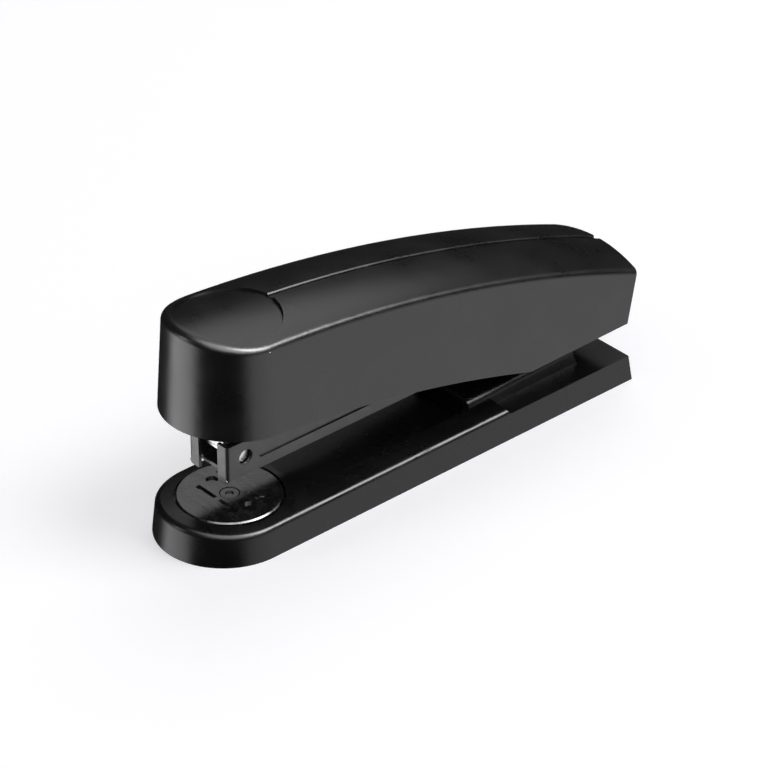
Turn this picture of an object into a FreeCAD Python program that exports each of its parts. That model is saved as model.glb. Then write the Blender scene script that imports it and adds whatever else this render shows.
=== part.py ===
import FreeCAD, Part
import math
import os
from FreeCAD import Vector

# Desk stapler, millimetres. +Z is up and the paper goes in at the -Y end (the nose).
# The origin is the centre of the base's footprint, on the surface that it stands on.

# ---- base: a low plastic tray, turned upside down, over a steel arm ----
BASE_LENGTH = 151.0
BASE_WIDTH = 39.0
BASE_DRAFT = 0.11            # how far the sides lean in, per mm of height
BASE_WALL = 2.2
NOSE_LENGTH = 19.8           # the rounded front end, from its tip to where the sides run straight
DECK_HEIGHT = 10.0
DECK_CROWN_RADIUS = 145.0
DECK_EDGE_RADIUS = 1.6
REAR_DECK_HEIGHT = 7.65
REAR_DECK_LENGTH = 45.0      # from the rear end to the foot of the step
STEP_RUN = 3.4
SOLE_THICKNESS = 1.5
SOLE_GAP = 0.15
SOLE_GROOVE_DEPTH = 0.4
ARM_THICKNESS = 1.5
ARM_HALF_WIDTH = 8.0
SCREW_RADIUS = 1.5
SCREW_HEAD_RADIUS = 2.6
SCREW_HEAD_HEIGHT = 1.2
SCREW_CLEARANCE = 0.1

# ---- trough: a scoop in the deck that deepens towards the rear ----
TROUGH_HALF_WIDTH = 11.5
TROUGH_DEPTH = 3.4
TROUGH_START = 17.5          # behind the nose centre
TROUGH_END = 74.5            # behind the nose centre, where the floor stops
TROUGH_CORNER = 3.0
TROUGH_FLOOR = 1.7           # thickness under the floor
WINDOW_LENGTH = 3.2          # open gap between the floor's end and the hump

# ---- hump: the raised cover of the hinge bracket ----
HUMP_HALF_WIDTH = 11.6
HUMP_FRONT = 76.6            # behind the nose centre
HUMP_END_FROM_REAR = 14.2
HUMP_HEIGHT_FRONT = 12.0
HUMP_HEIGHT_REAR = 13.4
HUMP_LEAN = 0.12
HUMP_SHOULDER = 2.4
HUMP_WALL = 1.6
HUMP_END_SLANT = 1.8

# ---- anvil turntable ----
ANVIL_RADIUS = 14.3
ANVIL_THICKNESS = 1.4
ANVIL_SETBACK = 1.3          # behind the nose centre
ANVIL_POCKET_GAP = 0.5
ANVIL_TOP = 10.0
ANVIL_WASHER_THICKNESS = 0.3
ANVIL_WASHER_RADIUS = 6.5
ANVIL_BEVEL = 0.35
DIE_LENGTH = 16.4
DIE_WIDTH = 1.5
DIE_OFFSET = 4.3             # each die line lies this far from the turntable's centre
DIE_DEPTH = 0.7
DIE_GAP = 1.6                # bridge between the two grooves of one die
DIMPLE_RADIUS = 1.7
DIMPLE_OFFSET = 7.9
DIMPLE_DEPTH = 0.7
POINTER_SIZE = 1.5
RIVET_RADIUS = 1.6
RIVET_HEAD_RADIUS = 2.5
RIVET_HEAD_HEIGHT = 0.7
RIVET_SOCKET_RADIUS = 1.3
RIVET_SOCKET_DEPTH = 0.5

# ---- hinge ----
PIN_RADIUS = 2.0
PIN_HEIGHT = 25.0
PIN_FROM_REAR = 15.2
PIN_HALF_LENGTH = 13.0
RUNNING_GAP = 0.06
SIDE_GAP = 0.35              # between neighbouring ears on the pin
BRACKET_THICKNESS = 1.2
BRACKET_EAR_RADIUS = 4.6
BRACKET_FLOOR_AHEAD = 18.0   # the bracket's floor starts this far ahead of the pin
BRACKET_RIVET_RADIUS = 1.2
BRACKET_RIVET_HEAD_RADIUS = 1.9
BRACKET_RIVET_HALF_SPAN = 6.1
RING_THICKNESS = 0.6
RING_RADIUS = 3.3
RING_GROOVE_RADIUS = 1.6

# ---- magazine: a folded steel channel, closed at the front by two flanges ----
MAG_HALF_WIDTH = 7.9
MAG_WALL = 1.0
MAG_BOTTOM = 20.1
MAG_HEIGHT = 10.4
MAG_FRONT = 5.6              # front face, ahead of the nose centre
MAG_CORNER = 1.2
MAG_EAR_RADIUS = 5.0
FLANGE_INNER = 3.9           # half the gap between the two flanges
FLANGE_DROP = 1.0
SIGHT_HOLE_RADIUS = 2.25
SIGHT_HOLE_Y = 0.7           # behind the nose centre
SIGHT_HOLE_RISE = 5.4        # above the magazine's bottom
BEAD_START = 5.1
BEAD_HEIGHT = 2.3
BEAD_RISE = 4.3              # middle of the bead above the magazine's bottom
BEAD_DEPTH = 0.45
BEAD_END_FROM_PIN = 16.0

# ---- staples: 24/6 size ----
STAPLE_CROWN = 12.9
STAPLE_LEG = 6.0
STAPLE_WIRE = 0.5
STRIP_LENGTH = 35.0
STAPLE_GAP = 0.15
RAIL_WALL = 0.8
RAIL_END_FROM_PIN = 21.0

# ---- pusher, rod and spring ----
PUSHER_LENGTH = 12.0
PUSHER_TRAVEL = 34.0
PUSHER_WALL = 0.8
ROD_RADIUS = 0.9
ROD_RISE = 2.3               # rod's axis above the staple crowns
ROD_FRONT = 6.0              # front end, behind the nose centre
PUSHER_SPRING_RADIUS = 1.7
PUSHER_SPRING_WIRE = 0.5
PUSHER_SPRING_TURNS = 15
STOP_THICKNESS = 1.2
STOP_SEAT_LENGTH = 11.0

# ---- driver ----
BLADE_THICKNESS = 0.6
BLADE_WIDTH = 12.5
BLADE_PLAY = 0.4             # free space ahead of and behind the blade
BLADE_REST_GAP = 0.5         # between the blade and the staple crowns
BLADE_OVERRUN = 0.1          # how far short of the magazine's bottom the blade stops

# ---- handle shell ----
HANDLE_HALF_WIDTH = 17.3     # at the nose, at the height of its top edge
HANDLE_EDGE_HEIGHT = 63.0
HANDLE_DRAFT = 0.0628
HANDLE_TAPER = 2.0           # how much narrower each side is at the tail
HANDLE_NOSE_LENGTH = 17.1
HANDLE_NOSE_CENTRE = 2.0     # behind the base's nose centre
HANDLE_TOP_FRONT = 66.9
HANDLE_TOP_TAIL = 36.2
HANDLE_TOP_BOW = 6.5
HANDLE_CROWN_RADIUS = 48.0
HANDLE_EDGE_RADIUS = 2.0
HANDLE_WALL = 2.0
HANDLE_TAIL_SLANT = 0.27     # run per mm of height
HANDLE_TAIL_GAP = 1.2        # lower tail corner, ahead of the base's rear end
SKIRT_FRONT = 38.3           # height of the lower edge at the nose
SKIRT_BOW = 3.6
SKIRT_KINK = 18.6
SKIRT_TAIL = 17.9
SKIRT_FLAT_LENGTH = 40.0     # level part of the lower edge, from the base's rear end
DISH_RADIUS = 14.3
DISH_DEPTH = 0.7
DISH_TILT = 0.9              # degrees, deeper towards the rear
DISH_SETBACK = 2.2
GROOVE_HALF_WIDTH = 0.95
GROOVE_DEPTH = 0.7
GROOVE_LIP = 0.3
BOSS_RADIUS = 3.0
BOSS_PILOT_RADIUS = 1.0

# ---- handle lever: the steel inner frame ----
LEVER_THICKNESS = 1.2
LEVER_FRONT_TOP = 53.0
LEVER_REAR_TOP = 39.5
LEVER_BAND = 9.0
LEVER_EAR_RADIUS = 5.0
LEVER_WEB_END_FROM_PIN = 9.0
LEVER_SCREW_RADIUS = 1.2
LEVER_SCREW_HEAD_RADIUS = 2.3
LEVER_SCREW_HEAD_HEIGHT = 1.1
LEVER_SCREW_SPOTS = (14.0, 78.0)   # behind the nose centre

# ---- springs ----
LIFT_LEAF_THICKNESS = 0.5
LIFT_LEAF_HALF_WIDTH = 3.8
LIFT_LEAF_FLAT = 7.0
LIFT_LEAF_TIP = 72.0         # behind the nose centre
HANDLE_SPRING_RADIUS = 3.2
HANDLE_SPRING_WIRE = 0.8
HANDLE_SPRING_TURNS = 5
HANDLE_SPRING_FROM_PIN = 15.5

# ---- places worked out from the sizes above ----
Y_FRONT = -BASE_LENGTH / 2
Y_REAR = BASE_LENGTH / 2
Y_NOSE = Y_FRONT + NOSE_LENGTH
Y_PIN = Y_REAR - PIN_FROM_REAR
Y_ANVIL = Y_NOSE + ANVIL_SETBACK
Y_MAG_FRONT = Y_NOSE - MAG_FRONT
Y_HANDLE_NOSE = Y_NOSE + HANDLE_NOSE_CENTRE
Y_STEP = Y_REAR - REAR_DECK_LENGTH
Y_HUMP_END = Y_REAR - HUMP_END_FROM_REAR
Y_HUMP = Y_NOSE + HUMP_FRONT
Y_BRACKET = Y_PIN - BRACKET_FLOOR_AHEAD
Y_BRACKET_END = Y_HUMP_END - HUMP_END_SLANT - 1.5
Z_ARM = SOLE_THICKNESS + 0.6
Z_ARM_TOP = Z_ARM + ARM_THICKNESS
Z_BRACKET_FLOOR = Z_ARM_TOP + BRACKET_THICKNESS
Z_ANVIL_BOTTOM = ANVIL_TOP - ANVIL_THICKNESS
Z_POCKET = Z_ANVIL_BOTTOM - ANVIL_WASHER_THICKNESS
Z_MAG_FLOOR = MAG_BOTTOM + MAG_WALL
Z_MAG_TOP = MAG_BOTTOM + MAG_HEIGHT
Z_STAPLE_BOTTOM = Z_MAG_FLOOR + STAPLE_GAP
Z_CROWN_TOP = Z_STAPLE_BOTTOM + STAPLE_LEG + STAPLE_WIRE
Z_RAIL_TOP = Z_CROWN_TOP - STAPLE_WIRE - STAPLE_GAP
Z_ROD = Z_CROWN_TOP + ROD_RISE
RAIL_HALF_WIDTH = STAPLE_CROWN / 2 - STAPLE_WIRE - STAPLE_GAP
Y_BLADE = Y_MAG_FRONT + MAG_WALL + BLADE_PLAY + BLADE_THICKNESS / 2
Y_RAIL = Y_BLADE + BLADE_THICKNESS / 2 + BLADE_PLAY
Y_STRIP_END = Y_RAIL + STRIP_LENGTH
Y_STOP = Y_PIN - RAIL_END_FROM_PIN
Z_BLADE = Z_CROWN_TOP + BLADE_REST_GAP
BLADE_REACH = Y_PIN - Y_BLADE
BLADE_TRAVEL = Z_BLADE - MAG_BOTTOM - BLADE_OVERRUN
BLADE_ANGLE = math.degrees(math.asin(BLADE_TRAVEL / BLADE_REACH))
EAR_BRACKET = MAG_HALF_WIDTH + SIDE_GAP
EAR_LEVER = EAR_BRACKET + BRACKET_THICKNESS + SIDE_GAP
EAR_LEVER_OUTER = EAR_LEVER + LEVER_THICKNESS
HALF_STROKE = BLADE_TRAVEL / 2
PIN_CENTRE = Vector(0, Y_PIN, PIN_HEIGHT)
X_AXIS = Vector(1, 0, 0)
Y_AXIS = Vector(0, 1, 0)
Z_AXIS = Vector(0, 0, 1)
FAR = 200.0                  # longer than the object, for cutting tools


# ---- building blocks ----
def block(x0, x1, y0, y1, z0, z1):
    return Part.makeBox(x1 - x0, y1 - y0, z1 - z0, Vector(x0, y0, z0))


def slab(half_width, y0, y1, z0, z1):
    return block(-half_width, half_width, y0, y1, z0, z1)


def post(radius, x, y, z0, z1):
    return Part.makeCylinder(radius, z1 - z0, Vector(x, y, z0), Z_AXIS)


def crossbar(radius, y, z, x0, x1):
    return Part.makeCylinder(radius, x1 - x0, Vector(x0, y, z), X_AXIS)


def side_profile(points, x0, x1):
    """A plate between x0 and x1 whose outline is given as (y, z) points."""
    corners = [Vector(x0, y, z) for y, z in points]
    face = Part.Face(Part.makePolygon(corners + corners[:1]))
    return face.extrude(Vector(x1 - x0, 0, 0))


def both_sides(shape):
    return [shape, shape.mirror(Vector(0, 0, 0), X_AXIS)]


def fused(shapes):
    first, rest = shapes[0], shapes[1:]
    return first.multiFuse(rest).removeSplitter() if rest else first


def plan_outline(z, half_width, taper, nose_length, y_nose, y_rear):
    """Closed plan curve at height z: half an ellipse, two sides and a straight rear end."""
    centre = Vector(0, y_nose, z)
    tip = Vector(0, y_nose - nose_length, z)
    flank = Vector(half_width, y_nose, z)
    ends = (tip, flank) if nose_length > half_width else (flank, tip)
    ellipse = Part.Ellipse(*ends, centre)
    start = ellipse.parameter(Vector(-half_width, y_nose, z))
    end = ellipse.parameter(flank)
    nose = Part.ArcOfEllipse(ellipse, start, end)
    if nose.value((nose.FirstParameter + nose.LastParameter) / 2).y > y_nose:
        nose = Part.ArcOfEllipse(ellipse, end, start)
    side = math.copysign(half_width - taper, nose.EndPoint.x)
    rear_end = Vector(side, y_rear, z)
    rear_start = Vector(-side, y_rear, z)
    return Part.Wire([
        nose.toShape(),
        Part.LineSegment(nose.EndPoint, rear_end).toShape(),
        Part.LineSegment(rear_end, rear_start).toShape(),
        Part.LineSegment(rear_start, nose.StartPoint).toShape()])


def coil_spring(radius, wire, length, turns, place, direction):
    """Round-wire helix, with its first turn's centre line at place."""
    pitch = length / turns
    path = Part.makeHelix(pitch, length, radius)
    start = Vector(radius, 0, 0)
    ring = Part.Wire(Part.makeCircle(wire / 2, start, Vector(0, radius, pitch / (2 * math.pi))))
    coil = Part.Wire(path).makePipeShell([ring], True, True)
    coil.Placement = FreeCAD.Placement(place, FreeCAD.Rotation(Z_AXIS, direction))
    return coil


# ---- base ----
def base_form(inset, top):
    """The drafted outer form of the base, shrunk by inset on every side."""
    outlines = []
    for z in (0.0, top):
        shrink = BASE_DRAFT * z + inset
        outlines.append(plan_outline(
            z, BASE_WIDTH / 2 - shrink, 0.0, NOSE_LENGTH - shrink, Y_NOSE, Y_REAR - shrink))
    return Part.makeLoft(outlines, True, True)


def crowned_deck():
    """Everything below the deck's crowned surface."""
    half = BASE_WIDTH
    z_side = DECK_HEIGHT - DECK_CROWN_RADIUS + math.sqrt(DECK_CROWN_RADIUS ** 2 - half ** 2)
    corners = [Vector(x, -FAR, z) for x, z in (
        (half, z_side), (-half, z_side), (-half, -FAR), (half, -FAR))]
    edges = [Part.Arc(corners[0], Vector(0, -FAR, DECK_HEIGHT), corners[1]).toShape()]
    for start, end in zip(corners[1:], corners[2:] + corners[:1]):
        edges.append(Part.LineSegment(start, end).toShape())
    return Part.Face(Part.Wire(edges)).extrude(Vector(0, 2 * FAR, 0))


def deck_body():
    """Solid base with a crowned deck, rounded along its edge as far as the rear end."""
    body = base_form(0.0, DECK_HEIGHT + 5.0).common(crowned_deck()).Solids[0]
    top_face = max(body.Faces, key=lambda face: face.CenterOfMass.z)
    rounded = [edge for edge in top_face.Edges if edge.BoundBox.YLength > 1.0]
    return body.makeFillet(DECK_EDGE_RADIUS, rounded).cut(rear_step())


def rear_step():
    """What is cut away above the lower rear deck, with a soft S in front of it."""
    top = DECK_HEIGHT + 8.0
    rise = DECK_HEIGHT + 0.6 - REAR_DECK_HEIGHT
    foot = Vector(-FAR, Y_STEP, REAR_DECK_HEIGHT)
    middle = Vector(-FAR, Y_STEP - STEP_RUN / 2, REAR_DECK_HEIGHT + rise / 2)
    head = Vector(-FAR, Y_STEP - STEP_RUN, REAR_DECK_HEIGHT + rise)
    low_way = Vector(-FAR, Y_STEP - STEP_RUN * 0.3, REAR_DECK_HEIGHT + rise * 0.12)
    high_way = Vector(-FAR, Y_STEP - STEP_RUN * 0.7, REAR_DECK_HEIGHT + rise * 0.88)
    corners = [
        Vector(-FAR, Y_STEP - STEP_RUN, top), Vector(-FAR, FAR, top),
        Vector(-FAR, FAR, REAR_DECK_HEIGHT)]
    edges = [
        Part.Arc(foot, low_way, middle).toShape(),
        Part.Arc(middle, high_way, head).toShape(),
        Part.LineSegment(head, corners[0]).toShape(),
        Part.LineSegment(corners[0], corners[1]).toShape(),
        Part.LineSegment(corners[1], corners[2]).toShape(),
        Part.LineSegment(corners[2], foot).toShape(),
    ]
    return Part.Face(Part.Wire(edges)).extrude(Vector(2 * FAR, 0, 0))


def hump_section(y, height, inset):
    """Cross-section of the hump: leaning sides, round shoulders and a level top."""
    foot = REAR_DECK_HEIGHT - 2.0
    top = height - inset
    half_foot = HUMP_HALF_WIDTH - inset + HUMP_LEAN * 2.0
    half_top = HUMP_HALF_WIDTH - inset - HUMP_LEAN * (top - REAR_DECK_HEIGHT)
    shoulder = HUMP_SHOULDER - inset * 0.5
    bend = shoulder * (1 - math.sqrt(0.5))
    right = [
        Vector(half_foot, y, foot),
        Vector(half_top + HUMP_LEAN * shoulder, y, top - shoulder),
        Vector(half_top - bend, y, top - bend),
        Vector(half_top - shoulder, y, top)]
    left = [Vector(-point.x, point.y, point.z) for point in right]
    edges = [
        Part.LineSegment(right[0], right[1]).toShape(),
        Part.Arc(right[1], right[2], right[3]).toShape(),
        Part.LineSegment(right[3], left[3]).toShape(),
        Part.Arc(left[3], left[2], left[1]).toShape(),
        Part.LineSegment(left[1], left[0]).toShape(),
        Part.LineSegment(left[0], right[0]).toShape(),
    ]
    return Part.Wire(edges)


def hump_form(inset, y0, y1):
    slope = (HUMP_HEIGHT_REAR - HUMP_HEIGHT_FRONT) / (Y_HUMP_END - Y_HUMP)
    sections = []
    for y in (y0, y1):
        sections.append(hump_section(y, HUMP_HEIGHT_FRONT + slope * (y - Y_HUMP), inset))
    return Part.makeLoft(sections, True, True)


def hump():
    """The hump with its rear end leaning forward."""
    form = hump_form(0.0, Y_HUMP, Y_HUMP_END)
    slant = side_profile([
        (Y_HUMP_END + 0.3, REAR_DECK_HEIGHT), (Y_HUMP_END + 0.3, FAR),
        (Y_HUMP_END - HUMP_END_SLANT, FAR), (Y_HUMP_END - HUMP_END_SLANT, HUMP_HEIGHT_REAR),
        (Y_HUMP_END, REAR_DECK_HEIGHT)], -FAR, FAR)
    return form.cut(slant)


def trough():
    """The scoop's space: level with the deck in front, deep at the rear, with cut corners."""
    y0 = Y_NOSE + TROUGH_START
    y1 = Y_HUMP
    top = DECK_HEIGHT + 1.0
    half = TROUGH_HALF_WIDTH
    outline = [
        (-half, y0), (half, y0), (half, y1 - TROUGH_CORNER),
        (half - TROUGH_CORNER * 0.6, y1), (TROUGH_CORNER * 0.6 - half, y1),
        (-half, y1 - TROUGH_CORNER)]
    corners = [Vector(x, y, 0.0) for x, y in outline]
    plan = Part.Face(Part.makePolygon(corners + corners[:1])).extrude(Vector(0, 0, top))
    z_end = DECK_HEIGHT - TROUGH_DEPTH
    ramp = side_profile([
        (y0, DECK_HEIGHT), (Y_NOSE + TROUGH_END, z_end), (y1, z_end), (y1, top), (y0, top)],
        -FAR, FAR)
    return plan.common(ramp)


def window():
    """Gap behind the trough's floor, which runs on under the hump."""
    y0 = Y_NOSE + TROUGH_END
    gap = slab(TROUGH_HALF_WIDTH - 2.0, y0, Y_HUMP + 0.5, Z_ARM_TOP, DECK_HEIGHT + 1.0)
    return gap.fuse(hump_form(HUMP_WALL, Y_HUMP - 1.0, Y_PIN - 8.0))


def base_hollow():
    """Space under the deck, open below, which keeps an even skin over it."""
    form = base_form(BASE_WALL, DECK_HEIGHT)
    y_trough = Y_NOSE + TROUGH_START - 2.0
    z_trough = DECK_HEIGHT - TROUGH_DEPTH - TROUGH_FLOOR
    front = form.common(slab(FAR, -FAR, y_trough, -1.0, Z_POCKET - 1.5))
    middle = form.common(slab(FAR, y_trough, Y_HUMP, -1.0, z_trough))
    rear = form.common(slab(FAR, Y_HUMP, FAR, -1.0, REAR_DECK_HEIGHT - BASE_WALL))
    return fused([front, middle, rear])


SCREW_SPOTS = [(0.0, Y_NOSE + 32.0), (0.0, Y_NOSE + 60.0), (0.0, Y_REAR - 8.0)]


def base_shell():
    shell = fused([deck_body(), hump()])
    shell = shell.cut(base_hollow())
    shell = shell.cut(trough()).cut(window())
    bracket_half = EAR_BRACKET + BRACKET_THICKNESS + 0.2
    bracket_room = slab(
        bracket_half, Y_BRACKET - 0.3, Y_BRACKET_END + 0.3, Z_ARM_TOP,
        Z_BRACKET_FLOOR + RIVET_HEAD_HEIGHT + 1.0)
    ear_slot = slab(
        bracket_half, Y_PIN - BRACKET_EAR_RADIUS - 4.0, Y_BRACKET_END + 0.3,
        Z_ARM_TOP, HUMP_HEIGHT_REAR + 3.0)
    leaf_slot = slab(
        LIFT_LEAF_HALF_WIDTH + 0.6, Y_HUMP + 4.0, Y_PIN, Z_ARM_TOP, HUMP_HEIGHT_REAR + 3.0)
    pocket = post(ANVIL_RADIUS + ANVIL_POCKET_GAP, 0, Y_ANVIL, Z_POCKET, DECK_HEIGHT + 3.0)
    rivet_hole = post(RIVET_RADIUS + 0.3, 0, Y_ANVIL, 0.0, DECK_HEIGHT)
    for space in (bracket_room, ear_slot, leaf_slot, pocket, rivet_hole):
        shell = shell.cut(space)
    bosses = []
    for x, y in SCREW_SPOTS[:2]:
        top = DECK_HEIGHT - TROUGH_DEPTH - TROUGH_FLOOR + 0.3
        bosses.append(post(SCREW_HEAD_RADIUS, x, y, Z_ARM_TOP, top))
    rear_x, rear_y = SCREW_SPOTS[2]
    bosses.append(post(SCREW_HEAD_RADIUS, rear_x, rear_y, Z_ARM_TOP, REAR_DECK_HEIGHT - 1.0))
    shell = fused([shell] + bosses)
    for x, y in SCREW_SPOTS:
        shell = shell.cut(post(SCREW_RADIUS, x, y, Z_ARM, Z_ARM_TOP + 2.0))
    return shell


def base_sole():
    """Soft sole: fills the tray's mouth, and its ribs stand on the table."""
    sole = base_form(BASE_WALL + SOLE_GAP, 5.0).common(slab(FAR, -FAR, FAR, 0.0, SOLE_THICKNESS))
    for x, y in SCREW_SPOTS:
        sole = sole.cut(post(SCREW_HEAD_RADIUS + 0.4, x, y, -1.0, SOLE_THICKNESS + 1.0))
    y = Y_NOSE - 4.0
    while y < Y_REAR - 8.0:
        near_screw = any(abs(y - spot) < 5.0 for _, spot in SCREW_SPOTS)
        if not near_screw:
            sole = sole.cut(slab(BASE_WIDTH / 2 - 6.0, y, y + 1.6, -1.0, SOLE_GROOVE_DEPTH))
        y += 8.0
    return sole


def base_arm():
    """Steel arm in the tray, from under the anvil to the hinge bracket."""
    arm = slab(ARM_HALF_WIDTH, Y_ANVIL, Y_REAR - 4.0, Z_ARM, Z_ARM_TOP)
    arm = fused([arm, post(ARM_HALF_WIDTH, 0, Y_ANVIL, Z_ARM, Z_ARM_TOP)])
    arm = arm.cut(post(RIVET_RADIUS, 0, Y_ANVIL, 0, DECK_HEIGHT))
    for x, y in SCREW_SPOTS:
        arm = arm.cut(post(SCREW_RADIUS + SCREW_CLEARANCE, x, y, 0, DECK_HEIGHT))
    for x, y, _ in BRACKET_RIVETS:
        arm = arm.cut(post(BRACKET_RIVET_RADIUS, x, y, 0, DECK_HEIGHT))
    pad = post(ARM_HALF_WIDTH, 0, Y_ANVIL, Z_ARM_TOP, Z_POCKET - 1.5)
    return fused([arm, pad.cut(post(RIVET_RADIUS, 0, Y_ANVIL, 0, DECK_HEIGHT))])


# (x, y, height of the clamped stack): four through the bracket, one through the leaf too
BRACKET_RIVETS = [
    (x, y, Z_BRACKET_FLOOR)
    for y in (Y_BRACKET + 3.0, Y_PIN - 5.0)
    for x in (-BRACKET_RIVET_HALF_SPAN, BRACKET_RIVET_HALF_SPAN)]
BRACKET_RIVETS.append((0.0, Y_BRACKET + 3.5, Z_BRACKET_FLOOR + LIFT_LEAF_THICKNESS))


def base_screws():
    screws = []
    for x, y in SCREW_SPOTS:
        shank = post(SCREW_RADIUS, x, y, Z_ARM, Z_ARM_TOP + 1.8)
        head = post(SCREW_HEAD_RADIUS, x, y, Z_ARM - SCREW_HEAD_HEIGHT, Z_ARM)
        slot = block(x - FAR, x + FAR, y - 0.4, y + 0.4, 0, Z_ARM - SCREW_HEAD_HEIGHT + 0.5)
        screws.append(fused([shank, head]).cut(slot))
    return screws


# ---- hinge on the base ----
def hinge_bracket():
    """U of folded steel: a floor on the arm and two ears up to the pin."""
    outer = EAR_BRACKET + BRACKET_THICKNESS
    floor = slab(outer, Y_BRACKET, Y_BRACKET_END, Z_ARM_TOP, Z_BRACKET_FLOOR)
    r = BRACKET_EAR_RADIUS
    ear = side_profile([
        (Y_PIN - 7.5, Z_ARM_TOP), (Y_BRACKET_END, Z_ARM_TOP),
        (Y_BRACKET_END, HUMP_HEIGHT_REAR + 0.5), (Y_PIN + r * 0.8, PIN_HEIGHT - r * 0.6),
        (Y_PIN, PIN_HEIGHT), (Y_PIN - r, PIN_HEIGHT),
        (Y_PIN - r, PIN_HEIGHT - 4.0), (Y_PIN - 7.5, Z_BRACKET_FLOOR + 5.0)], EAR_BRACKET, outer)
    ear = fused([ear, crossbar(r, Y_PIN, PIN_HEIGHT, EAR_BRACKET, outer)])
    bracket = fused([floor] + both_sides(ear))
    bracket = bracket.cut(crossbar(PIN_RADIUS, Y_PIN, PIN_HEIGHT, -FAR, FAR))
    for x, y, _ in BRACKET_RIVETS:
        bracket = bracket.cut(post(BRACKET_RIVET_RADIUS, x, y, 0, DECK_HEIGHT))
    return bracket


def bracket_rivets():
    """Rivets through the arm and the bracket's floor; the middle one holds the leaf too."""
    rivets = []
    for x, y, top in BRACKET_RIVETS:
        shank = post(BRACKET_RIVET_RADIUS, x, y, Z_ARM, top)
        head = post(BRACKET_RIVET_HEAD_RADIUS, x, y, top, top + RIVET_HEAD_HEIGHT)
        rivets.append(fused([shank, head]))
    return rivets


def hinge_pin():
    pin = crossbar(PIN_RADIUS, Y_PIN, PIN_HEIGHT, -PIN_HALF_LENGTH, PIN_HALF_LENGTH)
    x0 = EAR_LEVER_OUTER + SIDE_GAP
    ring = crossbar(PIN_RADIUS + 1.0, Y_PIN, PIN_HEIGHT, x0, x0 + RING_THICKNESS)
    ring = ring.cut(crossbar(RING_GROOVE_RADIUS, Y_PIN, PIN_HEIGHT, x0 - 1.0, x0 + 2.0))
    for groove in both_sides(ring):
        pin = pin.cut(groove)
    return pin


def pin_rings():
    """Retaining rings in the pin's two end grooves."""
    x0 = EAR_LEVER_OUTER + SIDE_GAP
    ring = crossbar(RING_RADIUS, Y_PIN, PIN_HEIGHT, x0, x0 + RING_THICKNESS)
    ring = ring.cut(crossbar(RING_GROOVE_RADIUS, Y_PIN, PIN_HEIGHT, x0 - 1.0, x0 + 2.0))
    mouth = block(x0 - 1.0, x0 + 2.0, Y_PIN - 1.2, Y_PIN + 1.2, PIN_HEIGHT - 5.0, PIN_HEIGHT - 1.0)
    return both_sides(ring.cut(mouth))


def lift_spring():
    """Leaf riveted to the bracket's floor, whose curled tip lifts the magazine."""
    z0 = Z_BRACKET_FLOOR
    t = LIFT_LEAF_THICKNESS
    y_held = Y_BRACKET
    y_tip = Y_NOSE + LIFT_LEAF_TIP
    z_tip = MAG_BOTTOM - 0.1
    leaf = side_profile([
        (y_held + LIFT_LEAF_FLAT, z0), (y_held + LIFT_LEAF_FLAT, z0 + t), (y_held, z0 + t),
        (y_tip + 3.0, z_tip), (y_tip + 1.0, z_tip), (y_tip - 2.0, z_tip - 1.4),
        (y_tip - 1.7, z_tip - 1.4 - t), (y_tip + 1.4, z_tip - t), (y_tip + 2.8, z_tip - t),
        (y_held - 0.4, z0)], -LIFT_LEAF_HALF_WIDTH, LIFT_LEAF_HALF_WIDTH)
    return leaf.cut(post(BRACKET_RIVET_RADIUS, 0, y_held + 3.5, 0, DECK_HEIGHT))


# ---- anvil ----
def anvil_disc():
    disc = post(ANVIL_RADIUS, 0, Y_ANVIL, Z_ANVIL_BOTTOM, ANVIL_TOP)
    rim = [edge for edge in disc.Edges if edge.BoundBox.ZMin > ANVIL_TOP - 0.01]
    disc = disc.makeChamfer(ANVIL_BEVEL, rim)
    disc = disc.cut(post(RIVET_RADIUS + RUNNING_GAP, 0, Y_ANVIL, 0, FAR))
    seat = post(RIVET_HEAD_RADIUS + 0.3, 0, Y_ANVIL, ANVIL_TOP - RIVET_HEAD_HEIGHT - 0.1, FAR)
    disc = disc.cut(seat)
    floor = ANVIL_TOP - DIE_DEPTH
    for y in (Y_ANVIL - DIE_OFFSET, Y_ANVIL + DIE_OFFSET):
        outward = 1.0 if y < Y_ANVIL else -1.0
        for side in (-1.0, 1.0):
            inner = side * DIE_GAP / 2 if outward > 0 else side * DIE_LENGTH * 0.34
            outer = side * DIE_LENGTH / 2 if outward > 0 else side * DIE_LENGTH * 0.62
            x0, x1 = min(inner, outer), max(inner, outer)
            groove = block(x0, x1, y - DIE_WIDTH / 2, y + DIE_WIDTH / 2, floor, FAR)
            disc = disc.cut(groove)
    for side in (-1.0, 1.0):
        dimple = post(DIMPLE_RADIUS, side * DIMPLE_OFFSET, Y_ANVIL + 0.5, ANVIL_TOP - DIMPLE_DEPTH, FAR)
        disc = disc.cut(dimple)
    return disc


def anvil_rivet():
    top = ANVIL_TOP - 0.1
    shank = post(RIVET_RADIUS, 0, Y_ANVIL, Z_ARM, top)
    head = post(RIVET_HEAD_RADIUS, 0, Y_ANVIL, top - RIVET_HEAD_HEIGHT + 0.1, top)
    rivet = fused([shank, head])
    hexagon = []
    for corner in range(6):
        angle = math.radians(60 * corner)
        hexagon.append(Vector(
            RIVET_SOCKET_RADIUS * math.cos(angle),
            Y_ANVIL + RIVET_SOCKET_RADIUS * math.sin(angle), top - RIVET_SOCKET_DEPTH))
    socket = Part.Face(Part.makePolygon(hexagon + hexagon[:1])).extrude(Vector(0, 0, 2.0))
    return rivet.cut(socket)


def anvil_washer():
    washer = post(ANVIL_WASHER_RADIUS, 0, Y_ANVIL, Z_POCKET, Z_ANVIL_BOTTOM)
    return washer.cut(post(RIVET_RADIUS + 0.3, 0, Y_ANVIL, 0, FAR))


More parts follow.
